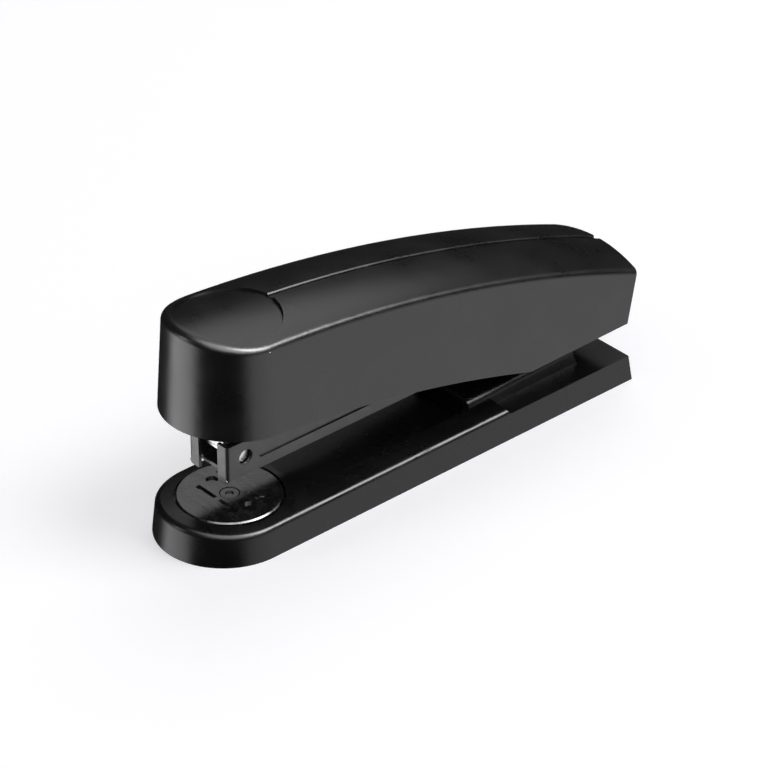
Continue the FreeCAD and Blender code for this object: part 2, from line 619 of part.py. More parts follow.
# ---- magazine ----
def magazine_channel():
    y1 = Y_PIN + MAG_EAR_RADIUS
    outer = slab(MAG_HALF_WIDTH, Y_MAG_FRONT, Y_PIN, MAG_BOTTOM, Z_MAG_TOP)
    upright = []
    for edge in outer.Edges:
        box = edge.BoundBox
        if box.ZLength > 1.0 and box.YMax < Y_MAG_FRONT + 0.1:
            upright.append(edge)
    outer = outer.makeFillet(MAG_CORNER, upright)
    hollow = slab(MAG_HALF_WIDTH - MAG_WALL, Y_MAG_FRONT + MAG_WALL, FAR, Z_MAG_FLOOR, FAR)
    channel = outer.cut(hollow)
    channel = channel.cut(slab(FLANGE_INNER, -FAR, Y_MAG_FRONT + MAG_WALL + 0.1, 0, FAR))
    exit_slot = slab(
        STAPLE_CROWN / 2 + 0.3, Y_MAG_FRONT + MAG_WALL, Y_RAIL, 0, Z_MAG_FLOOR + 0.1)
    channel = channel.cut(exit_slot)
    rear_cut = slab(MAG_HALF_WIDTH - MAG_WALL, Y_STOP + 14.0, FAR, 0, FAR)
    channel = channel.cut(rear_cut)
    ear_outline = crossbar(MAG_EAR_RADIUS, Y_PIN, PIN_HEIGHT, MAG_HALF_WIDTH - MAG_WALL, MAG_HALF_WIDTH)
    parts = [channel] + both_sides(ear_outline) + both_sides(front_flange())
    channel = fused(parts)
    channel = channel.cut(slab(FAR, y1, FAR, 0, FAR))
    tools = []
    hole_y = Y_NOSE + SIGHT_HOLE_Y
    tools.append(crossbar(SIGHT_HOLE_RADIUS, hole_y, MAG_BOTTOM + SIGHT_HOLE_RISE, -FAR, FAR))
    tools.append(crossbar(PIN_RADIUS + RUNNING_GAP, Y_PIN, PIN_HEIGHT, -FAR, FAR))
    tools += both_sides(side_bead())
    for tool in tools:
        channel = channel.cut(tool)
    return channel


def front_flange():
    """Lower lip of one flange, with its outer corner cut off."""
    z = MAG_BOTTOM
    outline = [
        (FLANGE_INNER, z + 1.0), (FLANGE_INNER, z - FLANGE_DROP),
        (MAG_HALF_WIDTH - FLANGE_DROP, z - FLANGE_DROP), (MAG_HALF_WIDTH - 0.3, z),
        (MAG_HALF_WIDTH - 1.2, z + 1.0)]
    corners = [Vector(x, Y_MAG_FRONT, height) for x, height in outline]
    face = Part.Face(Part.makePolygon(corners + corners[:1]))
    return face.extrude(Vector(0, MAG_WALL, 0))


def side_bead():
    """Long pressed-in bead with round ends, as a cutting tool for one cheek."""
    y0 = Y_NOSE + BEAD_START + BEAD_HEIGHT / 2
    y1 = Y_PIN - BEAD_END_FROM_PIN
    z = MAG_BOTTOM + BEAD_RISE
    x0 = MAG_HALF_WIDTH - BEAD_DEPTH
    r = BEAD_HEIGHT / 2
    middle = block(x0, FAR, y0, y1, z - r, z + r)
    return fused([middle, crossbar(r, y0, z, x0, FAR), crossbar(r, y1, z, x0, FAR)])


def staple_rail():
    """Inverted steel channel that the staples ride on."""
    outer = slab(RAIL_HALF_WIDTH, Y_RAIL, Y_STOP, Z_MAG_FLOOR, Z_RAIL_TOP)
    inner = slab(RAIL_HALF_WIDTH - RAIL_WALL, -FAR, FAR, 0, Z_RAIL_TOP - RAIL_WALL)
    return outer.cut(inner)


def staple_strip():
    outer = slab(STAPLE_CROWN / 2, Y_RAIL, Y_STRIP_END, Z_STAPLE_BOTTOM, Z_CROWN_TOP)
    inner = slab(STAPLE_CROWN / 2 - STAPLE_WIRE, -FAR, FAR, 0, Z_CROWN_TOP - STAPLE_WIRE)
    return outer.cut(inner)


def pusher():
    """Folded slider that rides on the rail and carries the rod's guide."""
    y0 = Y_STRIP_END + 0.1
    y1 = y0 + PUSHER_LENGTH
    inner_half = RAIL_HALF_WIDTH + STAPLE_GAP
    z_roof = Z_RAIL_TOP + STAPLE_GAP
    outer = slab(inner_half + PUSHER_WALL * 0.6, y0, y1, Z_STAPLE_BOTTOM, z_roof + PUSHER_WALL)
    body = outer.cut(slab(inner_half, -FAR, FAR, 0, z_roof))
    guide = slab(2.2, y1 - 4.0, y1, z_roof, Z_ROD + 1.8)
    body = fused([body, guide])
    return body.cut(Part.makeCylinder(
        ROD_RADIUS + RUNNING_GAP, FAR, Vector(0, Y_RAIL, Z_ROD), Y_AXIS))


def pusher_rod():
    y0 = Y_NOSE + ROD_FRONT
    return Part.makeCylinder(ROD_RADIUS, Y_STOP + STOP_THICKNESS - y0, Vector(0, y0, Z_ROD), Y_AXIS)


def spring_stop():
    """Angle in the magazine's rear: holds the rod and seats the handle's return spring."""
    half = MAG_HALF_WIDTH - MAG_WALL
    z_seat = Z_ROD + 2.4
    plate = slab(half, Y_STOP, Y_STOP + STOP_THICKNESS, Z_MAG_FLOOR, z_seat)
    seat = slab(half, Y_STOP, Y_STOP + STOP_SEAT_LENGTH, z_seat - STOP_THICKNESS, z_seat)
    stop = fused([plate, seat])
    return stop.cut(Part.makeCylinder(ROD_RADIUS, FAR, Vector(0, 0, Z_ROD), Y_AXIS))


def pusher_spring():
    y0 = Y_STRIP_END + 0.1 + PUSHER_LENGTH + PUSHER_SPRING_WIRE / 2 + 0.05
    length = Y_STOP - PUSHER_SPRING_WIRE / 2 - 0.05 - y0
    return coil_spring(
        PUSHER_SPRING_RADIUS, PUSHER_SPRING_WIRE, length, PUSHER_SPRING_TURNS,
        Vector(0, y0, Z_ROD), Y_AXIS)


# ---- handle ----
def top_arc():
    """Centre and radius of the handle's long top curve, seen from the side."""
    front = Vector(0, Y_HANDLE_NOSE - HANDLE_NOSE_LENGTH, HANDLE_TOP_FRONT)
    tail = Vector(0, tail_y(HANDLE_TOP_TAIL), HANDLE_TOP_TAIL)
    chord = tail.sub(front)
    half = chord.Length / 2
    radius = (half ** 2 + HANDLE_TOP_BOW ** 2) / (2 * HANDLE_TOP_BOW)
    middle = front.add(tail).multiply(0.5)
    outward = Vector(0, -chord.z, chord.y).normalize()
    return middle.sub(outward.multiply(radius - HANDLE_TOP_BOW)), radius


def tail_y(z):
    return Y_REAR - HANDLE_TAIL_GAP + (z - SKIRT_TAIL) * HANDLE_TAIL_SLANT


def crowned_top(drop):
    """Everything below the handle's crowned top surface, lowered by drop."""
    centre, radius = top_arc()
    half = HANDLE_HALF_WIDTH + 8.0
    crown = HANDLE_CROWN_RADIUS
    z_top = centre.z + radius - drop
    z_side = z_top - (crown - math.sqrt(crown ** 2 - half ** 2))
    z_low = z_top - 90.0
    right, left = Vector(half, centre.y, z_side), Vector(-half, centre.y, z_side)
    edges = [
        Part.Arc(right, Vector(0, centre.y, z_top), left).toShape(),
        Part.LineSegment(left, Vector(-half, centre.y, z_low)).toShape(),
        Part.LineSegment(Vector(-half, centre.y, z_low), Vector(half, centre.y, z_low)).toShape(),
        Part.LineSegment(Vector(half, centre.y, z_low), right).toShape(),
    ]
    section = Part.Face(Part.Wire(edges))
    section.rotate(centre, X_AXIS, 12.0)
    return section.revolve(centre, X_AXIS, -42.0)


def handle_sides(inset):
    """The handle's leaning sides, nose and tail, taller than the handle at both ends."""
    outlines = []
    for z in (0.0, 75.0):
        half = HANDLE_HALF_WIDTH + (HANDLE_EDGE_HEIGHT - z) * HANDLE_DRAFT - inset
        nose = HANDLE_NOSE_LENGTH + (HANDLE_EDGE_HEIGHT - z) * HANDLE_DRAFT - inset
        outlines.append(plan_outline(
            z, half, HANDLE_TAPER, nose, Y_HANDLE_NOSE, tail_y(z) - inset))
    return Part.makeLoft(outlines, True, True)


def below_skirt():
    """Space under the handle's lower edge: level at the tail, then a long rising curve."""
    y_kink = Y_REAR - SKIRT_FLAT_LENGTH
    y_tip = Y_HANDLE_NOSE - HANDLE_NOSE_LENGTH - 1.6
    kink = Vector(-FAR, y_kink, SKIRT_KINK)
    tip = Vector(-FAR, y_tip, SKIRT_FRONT)
    middle = kink.add(tip).multiply(0.5)
    across = tip.sub(kink)
    outward = Vector(0, across.z, -across.y).normalize()
    middle = middle.add(outward.multiply(SKIRT_BOW))
    loop = [
        tip, Vector(-FAR, y_tip - 20.0, SKIRT_FRONT + 0.5), Vector(-FAR, y_tip - 20.0, -10.0),
        Vector(-FAR, FAR, -10.0), Vector(-FAR, FAR, SKIRT_TAIL),
        Vector(-FAR, y_kink + 2.0, SKIRT_TAIL + 0.2), kink]
    edges = [Part.Arc(kink, middle, tip).toShape()]
    for start, end in zip(loop, loop[1:]):
        edges.append(Part.LineSegment(start, end).toShape())
    return Part.Face(Part.Wire(edges)).extrude(Vector(2 * FAR, 0, 0))


def thumb_dish():
    y = Y_NOSE + DISH_SETBACK
    floor = crowned_top(DISH_DEPTH)
    floor.rotate(Vector(0, y, HANDLE_TOP_FRONT), X_AXIS, -DISH_TILT)
    return post(DISH_RADIUS, 0, y, HANDLE_EDGE_HEIGHT - 20.0, HANDLE_TOP_FRONT + 5.0).cut(floor)


def centre_groove():
    """Long groove from the dish to the tail, with lips that flare out at the surface."""
    centre, radius = top_arc()
    deep = radius - GROOVE_DEPTH
    half = GROOVE_HALF_WIDTH
    wide = half + GROOVE_LIP
    outline = [
        (-half, deep), (half, deep), (half, radius - GROOVE_LIP), (wide, radius),
        (wide, radius + 2.0), (-wide, radius + 2.0), (-wide, radius), (-half, radius - GROOVE_LIP)]
    corners = [Vector(x, centre.y, centre.z + r) for x, r in outline]
    section = Part.Face(Part.makePolygon(corners + corners[:1]))
    start = math.degrees(math.asin((Y_NOSE + DISH_SETBACK + DISH_RADIUS - 1.0 - centre.y) / radius))
    section.rotate(centre, X_AXIS, -start)
    return section.revolve(centre, X_AXIS, -30.0)


def handle_shell():
    outer = handle_sides(0.0).common(crowned_top(0.0)).Solids[0]
    top_face = [face for face in outer.Faces if face.Surface.TypeId == "Part::GeomToroid"][0]
    rounded = [edge for edge in top_face.Edges if edge.BoundBox.YLength > 1.0]
    outer = outer.makeFillet(HANDLE_EDGE_RADIUS, rounded)
    outer = outer.cut(thumb_dish()).cut(centre_groove())
    inner = handle_sides(HANDLE_WALL).common(crowned_top(HANDLE_WALL + GROOVE_DEPTH * 0.6))
    shell = outer.cut(inner)
    bosses = []
    for spot in LEVER_SCREW_SPOTS:
        y = Y_NOSE + spot
        bosses.append(post(BOSS_RADIUS, 0, y, lever_top(y) + 0.6, HANDLE_TOP_FRONT + 5.0))
    bosses = [boss.common(crowned_top(HANDLE_WALL * 0.6)) for boss in bosses]
    shell = fused([shell] + bosses)
    for spot in LEVER_SCREW_SPOTS:
        y = Y_NOSE + spot
        shell = shell.cut(post(LEVER_SCREW_RADIUS, 0, y, 0, lever_top(y) + 5.0))
    return shell.cut(below_skirt())


def lever_top(y):
    """Height of the lever's top face at y."""
    y0 = Y_BLADE
    y1 = Y_PIN - LEVER_WEB_END_FROM_PIN
    return LEVER_FRONT_TOP + (LEVER_REAR_TOP - LEVER_FRONT_TOP) * (y - y0) / (y1 - y0)


def handle_lever():
    """Inverted channel that carries the blade in front and turns on the pin."""
    y0 = Y_BLADE + BLADE_THICKNESS / 2 + 0.02
    y1 = Y_PIN - LEVER_WEB_END_FROM_PIN
    t = LEVER_THICKNESS
    top0, top1 = lever_top(y0), lever_top(y1)
    web = side_profile(
        [(y0, top0), (y1, top1), (y1, top1 - t), (y0, top0 - t)], -EAR_LEVER, EAR_LEVER)
    cheek = side_profile([
        (y0 + 4.0, lever_top(y0 + 4.0)), (y1, top1), (Y_PIN + 2.0, PIN_HEIGHT + 9.0),
        (Y_PIN + LEVER_EAR_RADIUS, PIN_HEIGHT), (Y_PIN - LEVER_EAR_RADIUS, PIN_HEIGHT),
        (Y_PIN - 14.0, PIN_HEIGHT + 3.0), (y0 + 4.0, top0 - LEVER_BAND)],
        EAR_LEVER, EAR_LEVER_OUTER)
    ear = crossbar(LEVER_EAR_RADIUS, Y_PIN, PIN_HEIGHT, EAR_LEVER, EAR_LEVER_OUTER)
    tab = slab(BLADE_WIDTH / 2, y0, y0 + t, top0 - 10.0 - HALF_STROKE, top0 - HALF_STROKE - 0.2)
    tab = raised_from_mid_stroke(tab)
    lever = fused([web, tab] + both_sides(cheek) + both_sides(ear))
    lever = lever.cut(crossbar(PIN_RADIUS + RUNNING_GAP, Y_PIN, PIN_HEIGHT, -FAR, FAR))
    for spot in LEVER_SCREW_SPOTS:
        lever = lever.cut(post(LEVER_SCREW_RADIUS + SCREW_CLEARANCE, 0, Y_NOSE + spot, 0, FAR))
    for x, z in blade_rivet_spots():
        hole = Part.makeCylinder(1.0, 6.0, Vector(x, y0 - 1.0, z), Y_AXIS)
        lever = lever.cut(raised_from_mid_stroke(hole))
    return lever


def raised_from_mid_stroke(shape):
    """Turns a piece drawn halfway down the blade's stroke, where the blade is upright, to rest."""
    shape.rotate(PIN_CENTRE, X_AXIS, -BLADE_ANGLE / 2)
    return shape


def blade_rivet_spots():
    z = lever_top(Y_BLADE) - 6.0 - HALF_STROKE
    return [(-3.5, z), (3.5, z)]


def driver_blade():
    """Flat blade on the lever's front tab. It stands upright halfway down its stroke."""
    z_top = lever_top(Y_BLADE) - 1.5 - HALF_STROKE
    y0, y1 = Y_BLADE - BLADE_THICKNESS / 2, Y_BLADE + BLADE_THICKNESS / 2
    blade = slab(BLADE_WIDTH / 2, y0, y1, Z_BLADE - HALF_STROKE, z_top)
    for x, z in blade_rivet_spots():
        blade = blade.cut(Part.makeCylinder(1.0, 6.0, Vector(x, y0 - 1.0, z), Y_AXIS))
    return raised_from_mid_stroke(blade)


def blade_rivets():
    y0 = Y_BLADE - BLADE_THICKNESS / 2
    y1 = Y_BLADE + BLADE_THICKNESS / 2 + 0.02 + LEVER_THICKNESS
    rivets = []
    for x, z in blade_rivet_spots():
        shank = Part.makeCylinder(1.0, y1 - y0, Vector(x, y0, z), Y_AXIS)
        head = Part.makeCylinder(1.7, 0.6, Vector(x, y0 - 0.6, z), Y_AXIS)
        tail = Part.makeCylinder(1.7, 0.6, Vector(x, y1, z), Y_AXIS)
        rivets.append(raised_from_mid_stroke(fused([head, shank, tail])))
    return rivets


def lever_screws():
    """Screws that hold the shell's two bosses down on the lever."""
    screws = []
    for spot in LEVER_SCREW_SPOTS:
        y = Y_NOSE + spot
        z = lever_top(y) - LEVER_THICKNESS - 0.3
        shank = post(LEVER_SCREW_RADIUS, 0, y, z, z + 6.0)
        head = post(LEVER_SCREW_HEAD_RADIUS, 0, y, z - LEVER_SCREW_HEAD_HEIGHT, z)
        slot = slab(FAR, y - 0.35, y + 0.35, 0, z - LEVER_SCREW_HEAD_HEIGHT + 0.5)
        screws.append(fused([shank, head]).cut(slot))
    return screws


def handle_spring():
    y = Y_PIN - HANDLE_SPRING_FROM_PIN
    z0 = Z_ROD + 2.4 + HANDLE_SPRING_WIRE / 2 + 0.05
    z1 = lever_top(y) - LEVER_THICKNESS - HANDLE_SPRING_WIRE / 2 - 0.9
    return coil_spring(
        HANDLE_SPRING_RADIUS, HANDLE_SPRING_WIRE, z1 - z0, HANDLE_SPRING_TURNS,
        Vector(0, y, z0), Z_AXIS)


# ---- every node, with the function that makes it ----
NODES = {
    "base_shell": base_shell,
    "base_sole": base_sole,
    "base_arm": base_arm,
    "base_screws": base_screws,
    "hinge_bracket": hinge_bracket,
    "bracket_rivets": bracket_rivets,
    "hinge_pin": hinge_pin,
    "pin_rings": pin_rings,
    "lift_spring": lift_spring,
    "anvil_disc": anvil_disc,
    "anvil_rivet": anvil_rivet,
    "anvil_washer": anvil_washer,
    "magazine_channel": magazine_channel,
    "staple_rail": staple_rail,
    "staple_strip": staple_strip,
    "pusher": pusher,
    "pusher_rod": pusher_rod,
    "pusher_spring": pusher_spring,
    "spring_stop": spring_stop,
    "handle_shell": handle_shell,
    "handle_lever": handle_lever,
    "driver_blade": driver_blade,
    "blade_rivets": blade_rivets,
    "lever_screws": lever_screws,
    "handle_spring": handle_spring,
}


def write_nodes():
    os.makedirs("parts", exist_ok=True)
    for name, make in NODES.items():
        made = make()
        shape = Part.makeCompound(made) if isinstance(made, list) else made
        solids = shape.Solids
        bounds = shape.BoundBox
        print(
            f"{name}: {len(solids)} solid(s), valid {shape.isValid()}, "
            f"Y {bounds.YMin:.1f} to {bounds.YMax:.1f}, Z {bounds.ZMin:.1f} to {bounds.ZMax:.1f}, "
            f"volume {shape.Volume:.0f}")
        shape.exportStep(f"parts/{name}.step")
    print(f"blade angle {BLADE_ANGLE:.2f} degrees")


write_nodes()
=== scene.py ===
import math

import bmesh
import bpy
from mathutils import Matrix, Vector


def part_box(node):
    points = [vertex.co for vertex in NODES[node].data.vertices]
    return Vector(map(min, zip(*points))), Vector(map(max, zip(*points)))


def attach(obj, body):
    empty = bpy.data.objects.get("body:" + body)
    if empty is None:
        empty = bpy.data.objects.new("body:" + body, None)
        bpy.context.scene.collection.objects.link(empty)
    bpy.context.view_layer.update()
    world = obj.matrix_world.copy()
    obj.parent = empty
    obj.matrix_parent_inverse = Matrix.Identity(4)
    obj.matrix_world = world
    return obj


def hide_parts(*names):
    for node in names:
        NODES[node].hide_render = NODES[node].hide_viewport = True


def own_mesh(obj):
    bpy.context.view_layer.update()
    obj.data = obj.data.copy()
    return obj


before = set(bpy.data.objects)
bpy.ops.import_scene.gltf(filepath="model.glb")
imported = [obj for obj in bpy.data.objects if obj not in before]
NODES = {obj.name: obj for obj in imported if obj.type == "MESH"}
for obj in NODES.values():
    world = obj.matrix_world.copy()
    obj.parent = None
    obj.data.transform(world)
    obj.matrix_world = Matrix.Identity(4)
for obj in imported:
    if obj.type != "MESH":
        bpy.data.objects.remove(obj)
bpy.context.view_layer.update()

MM = 0.001

# ---- view and light, in metres, in the stapler's own frame ----
CAMERA_PLACE = (0.6694, -0.5935, 0.5914)
CAMERA_TARGET = (-0.0246, 0.0218, 0.0)
CAMERA_LENS = 184.4
SENSOR_WIDTH = 36.0
CAMERA_REACH = 20.0
FLOOR_HALF = 6.0
FLOOR_COLOUR = (0.72, 0.71, 0.75)
FLOOR_LIFT = 0.44            # what the camera sees added, so that the lit floor reads as white

# (name, place, target, width, depth, power in watts, colour)
LAMPS = [
    ("key_softbox", (0.50, 0.35, 1.10), (0.0, 0.0, 0.03), 0.6, 0.6, 6.0, (1.0, 1.0, 1.0)),
    ("back_softbox", (-0.50, 0.60, 1.00), (0.0, 0.0, 0.03), 0.8, 0.8, 3.0, (1.0, 1.0, 1.0)),
    ("front_fill", (0.70, -0.90, 0.60), (0.0, -0.03, 0.03), 0.8, 0.8, 2.0, (1.0, 1.0, 1.0)),
    ("left_fill", (-0.45, -1.00, 0.30), (0.0, -0.05, 0.03), 0.3, 0.4, 2.0, (1.0, 1.0, 1.0)),
]


# ---- small helpers for node materials ----
COAT_ROUGHNESS = 0.12
EDGE_SAMPLES = 6
EDGE_TURN = (0.86, 0.995)    # agreement of bevelled and true normal: at a worn edge, on an open face


class Graph:
    """A material's node tree, with short calls to add and join nodes."""

    def __init__(self, name):
        self.material = bpy.data.materials.new(name)
        self.material.use_nodes = True
        self.nodes = self.material.node_tree.nodes
        self.links = self.material.node_tree.links
        self.nodes.clear()
        self.output = self.nodes.new("ShaderNodeOutputMaterial")

    def add(self, kind, **values):
        node = self.nodes.new(kind)
        for key, value in values.items():
            setattr(node, key, value)
        return node

    def join(self, source, target):
        self.links.new(source, target)

    def noise(self, scale, detail=3.0, roughness=0.55, stretch=None):
        """Noise over the object's own coordinates; scale is in cells per metre."""
        place = self.add("ShaderNodeTexCoord")
        noise = self.add("ShaderNodeTexNoise")
        noise.inputs["Scale"].default_value = scale
        noise.inputs["Detail"].default_value = detail
        noise.inputs["Roughness"].default_value = roughness
        source = place.outputs["Object"]
        if stretch:
            mapping = self.add("ShaderNodeMapping")
            mapping.inputs["Scale"].default_value = stretch
            self.join(source, mapping.inputs["Vector"])
            source = mapping.outputs["Vector"]
        self.join(source, noise.inputs["Vector"])
        return noise.outputs["Fac"]

    def span(self, source, low, high, start=0.3, end=0.7):
        """Maps start..end of source to low..high."""
        node = self.add("ShaderNodeMapRange")
        node.inputs["From Min"].default_value = start
        node.inputs["From Max"].default_value = end
        node.inputs["To Min"].default_value = low
        node.inputs["To Max"].default_value = high
        self.join(source, node.inputs["Value"])
        return node.outputs["Result"]

    def blend(self, factor, first, second):
        node = self.add("ShaderNodeMix", data_type="RGBA")
        self.join(factor, node.inputs["Factor"])
        node.inputs["A"].default_value = (*first, 1.0)
        node.inputs["B"].default_value = (*second, 1.0)
        return node.outputs["Result"]

    def maths(self, operation, first, second):
        node = self.add("ShaderNodeMath", operation=operation)
        for socket, value in zip(node.inputs, (first, second)):
            if isinstance(value, (int, float)):
                socket.default_value = value
            else:
                self.join(value, socket)
        return node.outputs["Value"]

    def edges(self, radius):
        """About 1 within radius of a sharp edge and 0 on open faces."""
        bevel = self.add("ShaderNodeBevel", samples=EDGE_SAMPLES)
        bevel.inputs["Radius"].default_value = radius
        geometry = self.add("ShaderNodeNewGeometry")
        dot = self.add("ShaderNodeVectorMath", operation="DOT_PRODUCT")
        self.join(bevel.outputs["Normal"], dot.inputs[0])
        self.join(geometry.outputs["Normal"], dot.inputs[1])
        return self.span(dot.outputs["Value"], 1.0, 0.0, *EDGE_TURN)

    def bump(self, height, strength, distance, normal=None):
        node = self.add("ShaderNodeBump")
        node.inputs["Strength"].default_value = strength
        node.inputs["Distance"].default_value = distance
        self.join(height, node.inputs["Height"])
        if normal is not None:
            self.join(normal, node.inputs["Normal"])
        return node.outputs["Normal"]

    def surface(self, colour, roughness, normal, metallic=0.0, ior=1.5, coat=0.0):
        shader = self.add("ShaderNodeBsdfPrincipled")
        shader.inputs["Metallic"].default_value = metallic
        shader.inputs["IOR"].default_value = ior
        shader.inputs["Coat Weight"].default_value = coat
        shader.inputs["Coat Roughness"].default_value = COAT_ROUGHNESS
        self.join(colour, shader.inputs["Base Color"])
        self.join(roughness, shader.inputs["Roughness"])
        self.join(normal, shader.inputs["Normal"])
        self.join(shader.outputs["BSDF"], self.output.inputs["Surface"])
        return self.material


# ---- materials ----
def moulded_plastic(name, dark, light, low_rough, high_rough, grain, ior):
    """Black moulded plastic: fine spark-eroded grain, faint mottling, polished edges."""
    g = Graph(name)
    mottle = g.noise(90.0, 4.0)
    worn = g.maths("MULTIPLY", g.edges(0.5 * MM), g.noise(700.0, 2.0))
    tone = g.maths("ADD", g.maths("MULTIPLY", mottle, 0.6), worn)
    colour = g.blend(g.span(tone, 0.0, 1.0, 0.15, 0.9), dark, light)
    rough = g.maths("SUBTRACT", g.span(mottle, low_rough, high_rough), g.maths("MULTIPLY", worn, 0.10))
    fine = g.bump(g.noise(5200.0, 2.0), grain, 0.02 * MM)
    return g.surface(colour, rough, g.bump(g.noise(60.0, 2.0), 0.02, 0.1 * MM, fine), ior=ior)


def lacquered_steel():
    """Folded steel with satin black lacquer, a little orange peel, thin at its edges."""
    g = Graph("lacquered_steel")
    worn = g.maths("MULTIPLY", g.edges(0.35 * MM), g.noise(900.0, 3.0))
    colour = g.blend(g.span(worn, 0.0, 1.0, 0.2, 0.8), (0.016, 0.016, 0.017), (0.06, 0.06, 0.06))
    rough = g.span(g.noise(300.0, 3.0), 0.30, 0.42)
    peel = g.bump(g.noise(1500.0, 1.0), 0.10, 0.04 * MM)
    return g.surface(colour, rough, peel, ior=1.5, coat=0.15)


def dark_plate():
    """Dark nickel plate: glossy, with soft blotches and hairline scratches."""
    g = Graph("dark_plate")
    blotch = g.noise(320.0, 4.0, 0.65)
    scratch = g.noise(900.0, 2.0, 0.5, (0.06, 1.0, 1.0))
    colour = g.blend(g.span(blotch, 0.0, 1.0), (0.055, 0.055, 0.058), (0.13, 0.128, 0.13))
    rough = g.span(g.maths("ADD", blotch, g.maths("MULTIPLY", scratch, 0.3)), 0.14, 0.34, 0.4, 0.85)
    relief = g.bump(blotch, 0.22, 0.05 * MM)
    return g.surface(colour, rough, g.bump(scratch, 0.08, 0.02 * MM, relief), metallic=0.9, ior=1.6)


def bright_steel(name, dark, light, low_rough, high_rough, stretch):
    """Rolled or drawn steel, with streaks along its length and rubbed edges."""
    g = Graph(name)
    streak = g.noise(1400.0, 3.0, 0.6, stretch)
    cloud = g.noise(160.0, 3.0)
    tone = g.maths("ADD", g.maths("MULTIPLY", streak, 0.5), g.maths("MULTIPLY", cloud, 0.5))
    lifted = g.maths("ADD", tone, g.maths("MULTIPLY", g.edges(0.2 * MM), 0.25))
    colour = g.blend(g.span(lifted, 0.0, 1.0), dark, light)
    rough = g.span(tone, high_rough, low_rough)
    return g.surface(colour, rough, g.bump(streak, 0.12, 0.02 * MM), metallic=1.0)


def sole_rubber():
    """Soft matt rubber with a dusty bloom."""
    g = Graph("sole_rubber")
    dust = g.noise(260.0, 5.0, 0.7)
    colour = g.blend(g.span(dust, 0.0, 1.0), (0.018, 0.018, 0.018), (0.05, 0.05, 0.048))
    return g.surface(colour, g.span(dust, 0.68, 0.86), g.bump(g.noise(2500.0), 0.3, 0.05 * MM), ior=1.45)


# how far a streak's noise is squeezed along each axis
LENGTHWAYS = (1.0, 0.05, 1.0)
UPRIGHT = (1.0, 1.0, 0.05)
EVEN = (1.0, 1.0, 1.0)
MATERIALS = {
    "shell": moulded_plastic(
        "shell_plastic", (0.004, 0.004, 0.0042), (0.011, 0.011, 0.0115), 0.26, 0.33, 0.10, 1.50),
    "base": moulded_plastic(
        "base_plastic", (0.004, 0.004, 0.0042), (0.011, 0.011, 0.0115), 0.23, 0.31, 0.10, 1.36),
    "lacquer": lacquered_steel(),
    "plate": dark_plate(),
    "zinc": bright_steel("zinc_plate", (0.36, 0.36, 0.35), (0.60, 0.60, 0.58), 0.24, 0.40, LENGTHWAYS),
    "spring": bright_steel("spring_steel", (0.26, 0.26, 0.26), (0.48, 0.48, 0.47), 0.22, 0.36, EVEN),
    "wire": bright_steel("staple_wire", (0.48, 0.48, 0.47), (0.72, 0.72, 0.70), 0.18, 0.32, LENGTHWAYS),
    "blade": bright_steel("blade_steel", (0.22, 0.22, 0.225), (0.42, 0.42, 0.42), 0.20, 0.34, UPRIGHT),
    "rubber": sole_rubber(),
}
NODE_MATERIALS = {
    "handle_shell": "shell",
    "base_shell": "base",
    "base_sole": "rubber",
    "base_arm": "zinc",
    "base_screws": "zinc",
    "hinge_bracket": "lacquer",
    "bracket_rivets": "zinc",
    "hinge_pin": "zinc",
    "pin_rings": "spring",
    "lift_spring": "spring",
    "anvil_disc": "plate",
    "anvil_rivet": "plate",
    "anvil_washer": "spring",
    "magazine_channel": "lacquer",
    "staple_rail": "zinc",
    "staple_strip": "wire",
    "pusher": "zinc",
    "pusher_rod": "zinc",
    "pusher_spring": "spring",
    "spring_stop": "zinc",
    "handle_lever": "lacquer",
    "driver_blade": "blade",
    "blade_rivets": "zinc",
    "lever_screws": "zinc",
    "handle_spring": "spring",
}


def paint(piece, key):
    piece.data.materials.clear()
    piece.data.materials.append(MATERIALS[key])


def paint_nodes():
    for node, key in NODE_MATERIALS.items():
        paint(NODES[node], key)


# ---- pieces modelled here ----
def new_piece(name, mesh_builder, material, body):
    """A mesh object from a bmesh, painted, and riding on a CAD body."""
    mesh = bpy.data.meshes.new(name)
    bm = bmesh.new()
    mesh_builder(bm)
    bmesh.ops.recalc_face_normals(bm, faces=bm.faces)
    bm.to_mesh(mesh)
    bm.free()
    piece = bpy.data.objects.new(name, mesh)
    bpy.context.scene.collection.objects.link(piece)
    paint(piece, material)
    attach(piece, body)
    return piece


def extrude_outline(bm, outline, push):
    """A closed solid from a ring of points and the vector it is pushed along."""
    ring = [bm.verts.new(point) for point in outline]
    face = bm.faces.new(ring)
    made = bmesh.ops.extrude_face_region(bm, geom=[face])
    moved = [item for item in made["geom"] if isinstance(item, bmesh.types.BMVert)]
    bmesh.ops.translate(bm, vec=Vector(push), verts=moved)


STAPLE_WIRE = 0.5 * MM
STAPLE_PITCH = 0.70 * MM
STAPLE_LENGTH = 0.64 * MM
STAPLE_BEND = 0.55 * MM
STAPLE_BEND_INSIDE = 0.20 * MM
STAPLE_BEND_STEPS = 4


def staple_outline(low, high, y):
    """One staple seen from the front: a crown, two bends and two legs."""
    half = high.x
    inner = half - STAPLE_WIRE
    outside, inside = [], []
    for side in (1, -1):
        order = range(STAPLE_BEND_STEPS + 1)
        for step in order if side > 0 else reversed(order):
            angle = step / STAPLE_BEND_STEPS * math.pi / 2
            for radius, ring, edge, top in (
                    (STAPLE_BEND, outside, half, high.z),
                    (STAPLE_BEND_INSIDE, inside, inner, high.z - STAPLE_WIRE)):
                x = edge - radius + radius * math.cos(angle)
                z = top - radius + radius * math.sin(angle)
                ring.append((side * x, y, z))
    right_leg = [(inner, y, low.z), (half, y, low.z)]
    left_leg = [(-half, y, low.z), (-inner, y, low.z)]
    return right_leg + outside + left_leg + inside[::-1]


